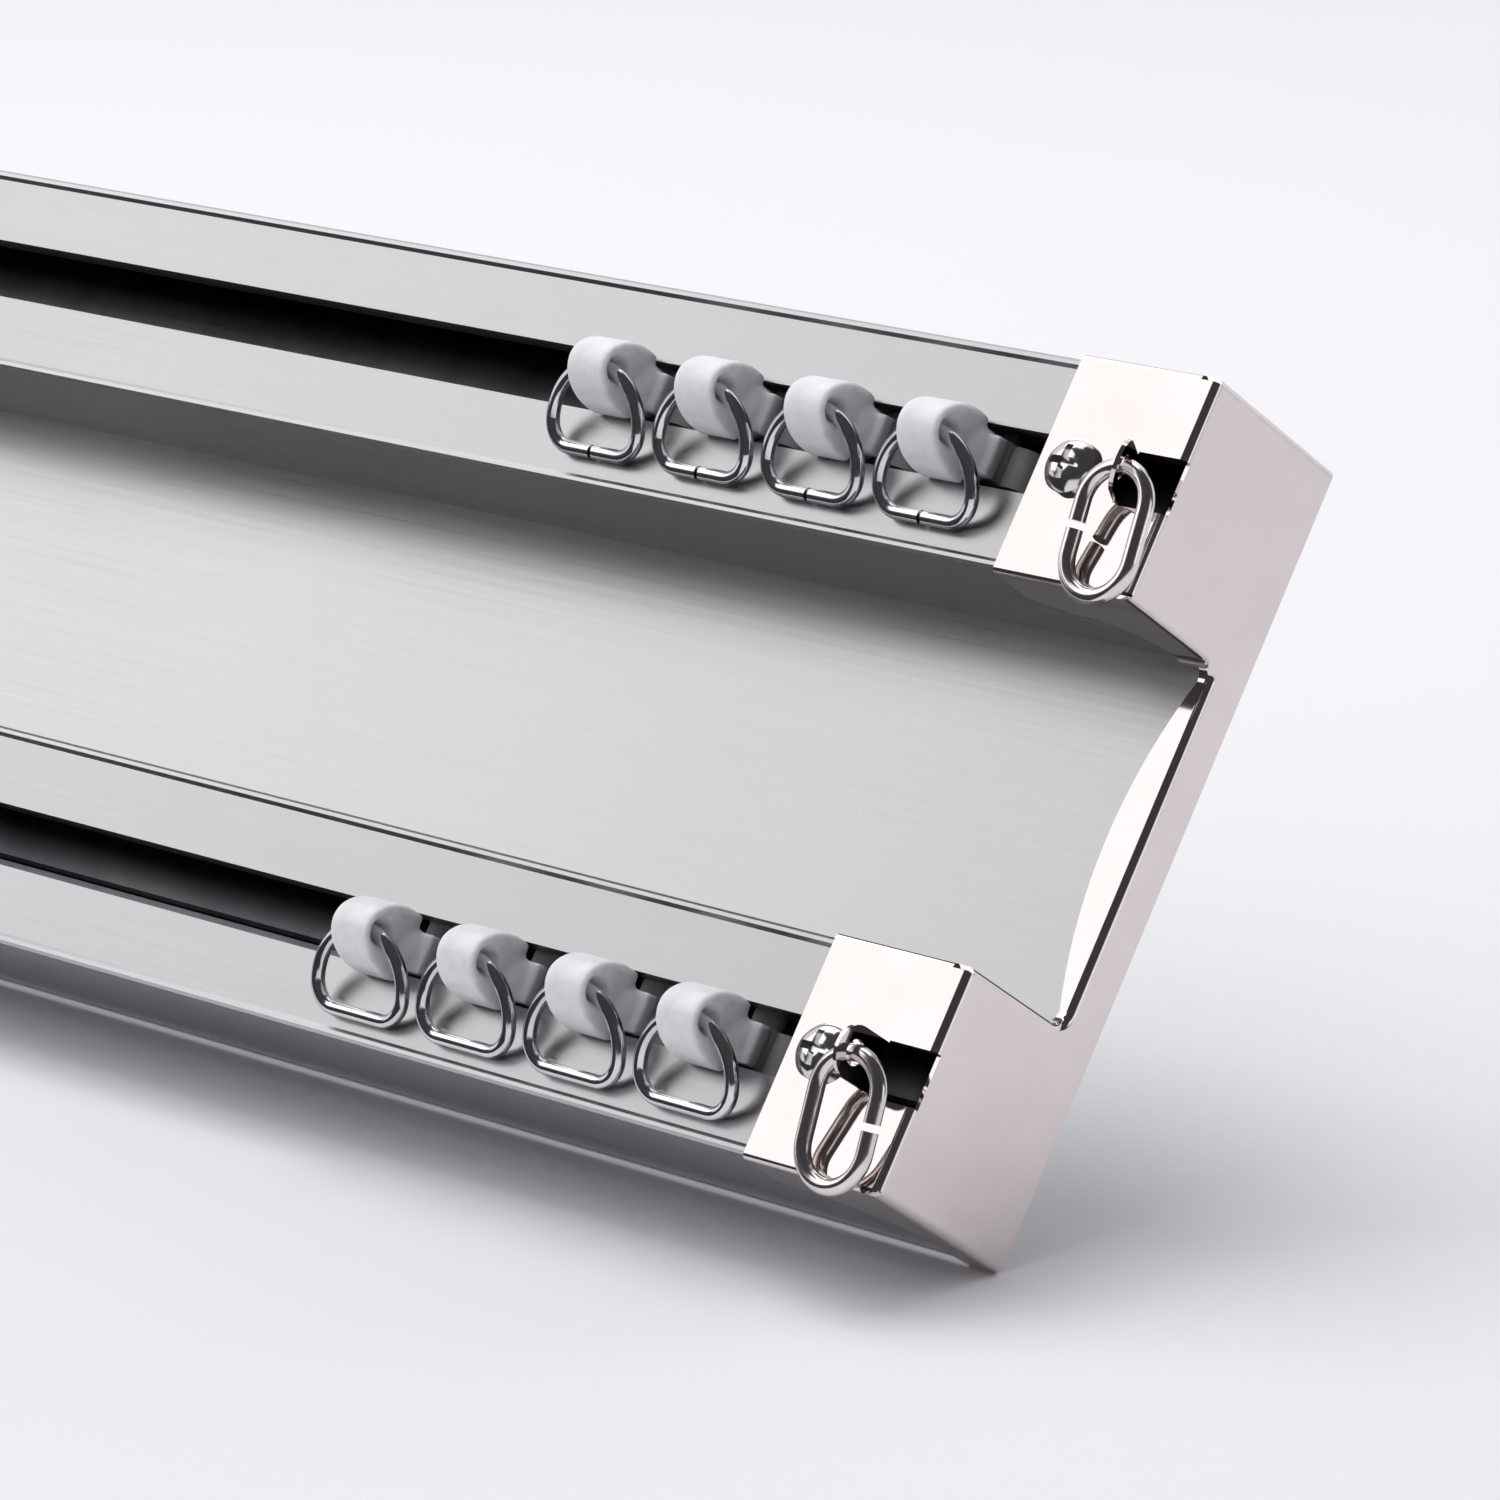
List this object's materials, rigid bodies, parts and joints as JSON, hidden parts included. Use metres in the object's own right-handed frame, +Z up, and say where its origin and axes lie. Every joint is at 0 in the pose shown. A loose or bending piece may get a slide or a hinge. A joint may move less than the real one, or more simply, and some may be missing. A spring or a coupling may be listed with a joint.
{
  "type": "double curtain track",
  "caption": "Double ceiling curtain track: twin-slot aluminium rail with folded steel end caps, nylon gliders on wheels and wire hook rings.",
  "frame": {"origin": "centre of the flat back that lies against the ceiling", "axes": "+X along the track towards the end where the gliders are gathered, +Y across it, +Z up into the ceiling"},
  "size_m": [0.5016, 0.1018, 0.0325],
  "materials": {
    "rail_aluminium": "satin anodised",
    "cap_plating": "polished nickel plate",
    "screw_plating": "polished nickel plate",
    "wire_plating": "bright nickel plate",
    "zinc_steel": "zinc plated",
    "axle_steel": "drawn",
    "nylon": "natural nylon, slightly translucent",
    "wheel_nylon": "natural nylon"
  },
  "bodies": {
    "track": {"rail": "rail_aluminium", "end_cap_right": "cap_plating", "cap_screw_right_a": "screw_plating", "clamp_plate_right_a": "zinc_steel", "cap_screw_right_b": "screw_plating", "clamp_plate_right_b": "zinc_steel", "end_cap_left": "cap_plating", "cap_screw_left_a": "screw_plating", "clamp_plate_left_a": "zinc_steel", "cap_screw_left_b": "screw_plating", "clamp_plate_left_b": "zinc_steel"},
    "cap_ring_right_a": {"cap_ring_right_a": "wire_plating"},
    "cap_ring_right_b": {"cap_ring_right_b": "wire_plating"},
    "cap_ring_left_a": {"cap_ring_left_a": "wire_plating"},
    "cap_ring_left_b": {"cap_ring_left_b": "wire_plating"},
    "glider_a1": {"glider_a1": "nylon"},
    "glider_ring_a1": {"glider_ring_a1": "wire_plating"},
    "wheels_a1": {"axle_a1": "axle_steel", "wheel_front_a1": "wheel_nylon", "wheel_back_a1": "wheel_nylon"},
    "glider_a2": {"glider_a2": "nylon"},
    "glider_ring_a2": {"glider_ring_a2": "wire_plating"},
    "wheels_a2": {"axle_a2": "axle_steel", "wheel_front_a2": "wheel_nylon", "wheel_back_a2": "wheel_nylon"},
    "glider_a3": {"glider_a3": "nylon"},
    "glider_ring_a3": {"glider_ring_a3": "wire_plating"},
    "wheels_a3": {"axle_a3": "axle_steel", "wheel_front_a3": "wheel_nylon", "wheel_back_a3": "wheel_nylon"},
    "glider_a4": {"glider_a4": "nylon"},
    "glider_ring_a4": {"glider_ring_a4": "wire_plating"},
    "wheels_a4": {"axle_a4": "axle_steel", "wheel_front_a4": "wheel_nylon", "wheel_back_a4": "wheel_nylon"},
    "glider_b1": {"glider_b1": "nylon"},
    "glider_ring_b1": {"glider_ring_b1": "wire_plating"},
    "wheels_b1": {"axle_b1": "axle_steel", "wheel_front_b1": "wheel_nylon", "wheel_back_b1": "wheel_nylon"},
    "glider_b2": {"glider_b2": "nylon"},
    "glider_ring_b2": {"glider_ring_b2": "wire_plating"},
    "wheels_b2": {"axle_b2": "axle_steel", "wheel_front_b2": "wheel_nylon", "wheel_back_b2": "wheel_nylon"},
    "glider_b3": {"glider_b3": "nylon"},
    "glider_ring_b3": {"glider_ring_b3": "wire_plating"},
    "wheels_b3": {"axle_b3": "axle_steel", "wheel_front_b3": "wheel_nylon", "wheel_back_b3": "wheel_nylon"},
    "glider_b4": {"glider_b4": "nylon"},
    "glider_ring_b4": {"glider_ring_b4": "wire_plating"},
    "wheels_b4": {"axle_b4": "axle_steel", "wheel_front_b4": "wheel_nylon", "wheel_back_b4": "wheel_nylon"}
  },
  "joints": [
    {"name": "cap_ring_right_a_swing", "type": "hinge", "parent": "track", "child": "cap_ring_right_a", "pos_m": [0.24485, -0.0362, -0.02865], "axis": [-1, 0, 0], "range_deg": [0, 150]},
    {"name": "cap_ring_right_b_swing", "type": "hinge", "parent": "track", "child": "cap_ring_right_b", "pos_m": [0.24295, 0.0362, -0.02945], "axis": [-1, 0, 0], "range_deg": [0, 150]},
    {"name": "cap_ring_left_a_swing", "type": "hinge", "parent": "track", "child": "cap_ring_left_a", "pos_m": [-0.24485, -0.0362, -0.02865], "axis": [-1, 0, 0], "range_deg": [0, 150]},
    {"name": "cap_ring_left_b_swing", "type": "hinge", "parent": "track", "child": "cap_ring_left_b", "pos_m": [-0.24295, 0.0362, -0.02945], "axis": [-1, 0, 0], "range_deg": [0, 150]},
    {"name": "glider_a1_slide", "type": "slide", "parent": "track", "child": "glider_a1", "axis": [1, 0, 0], "range_m": [-0.095, 0]},
    {"name": "glider_ring_a1_swing", "type": "hinge", "parent": "glider_a1", "child": "glider_ring_a1", "pos_m": [0.2171, -0.0362, -0.02975], "axis": [-1, 0, 0], "range_deg": [0, 150]},
    {"name": "wheels_a1_spin", "type": "hinge", "parent": "glider_a1", "child": "wheels_a1", "pos_m": [0.2171, -0.0362, -0.01725], "axis": [0, 1, 0], "continuous": true},
    {"name": "glider_a2_slide", "type": "slide", "parent": "glider_a1", "child": "glider_a2", "axis": [1, 0, 0], "range_m": [-0.095, 0]},
    {"name": "glider_ring_a2_swing", "type": "hinge", "parent": "glider_a2", "child": "glider_ring_a2", "pos_m": [0.1995, -0.0362, -0.02975], "axis": [-1, 0, 0], "range_deg": [0, 150]},
    {"name": "wheels_a2_spin", "type": "hinge", "parent": "glider_a2", "child": "wheels_a2", "pos_m": [0.1995, -0.0362, -0.01725], "axis": [0, 1, 0], "continuous": true},
    {"name": "glider_a3_slide", "type": "slide", "parent": "glider_a2", "child": "glider_a3", "axis": [1, 0, 0], "range_m": [-0.095, 0]},
    {"name": "glider_ring_a3_swing", "type": "hinge", "parent": "glider_a3", "child": "glider_ring_a3", "pos_m": [0.1819, -0.0362, -0.02975], "axis": [-1, 0, 0], "range_deg": [0, 150]},
    {"name": "wheels_a3_spin", "type": "hinge", "parent": "glider_a3", "child": "wheels_a3", "pos_m": [0.1819, -0.0362, -0.01725], "axis": [0, 1, 0], "continuous": true},
    {"name": "glider_a4_slide", "type": "slide", "parent": "glider_a3", "child": "glider_a4", "axis": [1, 0, 0], "range_m": [-0.095, 0]},
    {"name": "glider_ring_a4_swing", "type": "hinge", "parent": "glider_a4", "child": "glider_ring_a4", "pos_m": [0.1643, -0.0362, -0.02975], "axis": [-1, 0, 0], "range_deg": [0, 150]},
    {"name": "wheels_a4_spin", "type": "hinge", "parent": "glider_a4", "child": "wheels_a4", "pos_m": [0.1643, -0.0362, -0.01725], "axis": [0, 1, 0], "continuous": true},
    {"name": "glider_b1_slide", "type": "slide", "parent": "track", "child": "glider_b1", "axis": [1, 0, 0], "range_m": [-0.095, 0]},
    {"name": "glider_ring_b1_swing", "type": "hinge", "parent": "glider_b1", "child": "glider_ring_b1", "pos_m": [0.2189, 0.037, -0.02975], "axis": [-1, 0, 0], "range_deg": [0, 150]},
    {"name": "wheels_b1_spin", "type": "hinge", "parent": "glider_b1", "child": "wheels_b1", "pos_m": [0.2189, 0.037, -0.01725], "axis": [0, 1, 0], "continuous": true},
    {"name": "glider_b2_slide", "type": "slide", "parent": "glider_b1", "child": "glider_b2", "axis": [1, 0, 0], "range_m": [-0.095, 0]},
    {"name": "glider_ring_b2_swing", "type": "hinge", "parent": "glider_b2", "child": "glider_ring_b2", "pos_m": [0.2013, 0.037, -0.02975], "axis": [-1, 0, 0], "range_deg": [0, 150]},
    {"name": "wheels_b2_spin", "type": "hinge", "parent": "glider_b2", "child": "wheels_b2", "pos_m": [0.2013, 0.037, -0.01725], "axis": [0, 1, 0], "continuous": true},
    {"name": "glider_b3_slide", "type": "slide", "parent": "glider_b2", "child": "glider_b3", "axis": [1, 0, 0], "range_m": [-0.095, 0]},
    {"name": "glider_ring_b3_swing", "type": "hinge", "parent": "glider_b3", "child": "glider_ring_b3", "pos_m": [0.1837, 0.037, -0.02975], "axis": [-1, 0, 0], "range_deg": [0, 150]},
    {"name": "wheels_b3_spin", "type": "hinge", "parent": "glider_b3", "child": "wheels_b3", "pos_m": [0.1837, 0.037, -0.01725], "axis": [0, 1, 0], "continuous": true},
    {"name": "glider_b4_slide", "type": "slide", "parent": "glider_b3", "child": "glider_b4", "axis": [1, 0, 0], "range_m": [-0.095, 0]},
    {"name": "glider_ring_b4_swing", "type": "hinge", "parent": "glider_b4", "child": "glider_ring_b4", "pos_m": [0.1661, 0.037, -0.02975], "axis": [-1, 0, 0], "range_deg": [0, 150]},
    {"name": "wheels_b4_spin", "type": "hinge", "parent": "glider_b4", "child": "wheels_b4", "pos_m": [0.1661, 0.037, -0.01725], "axis": [0, 1, 0], "continuous": true}
  ]
}
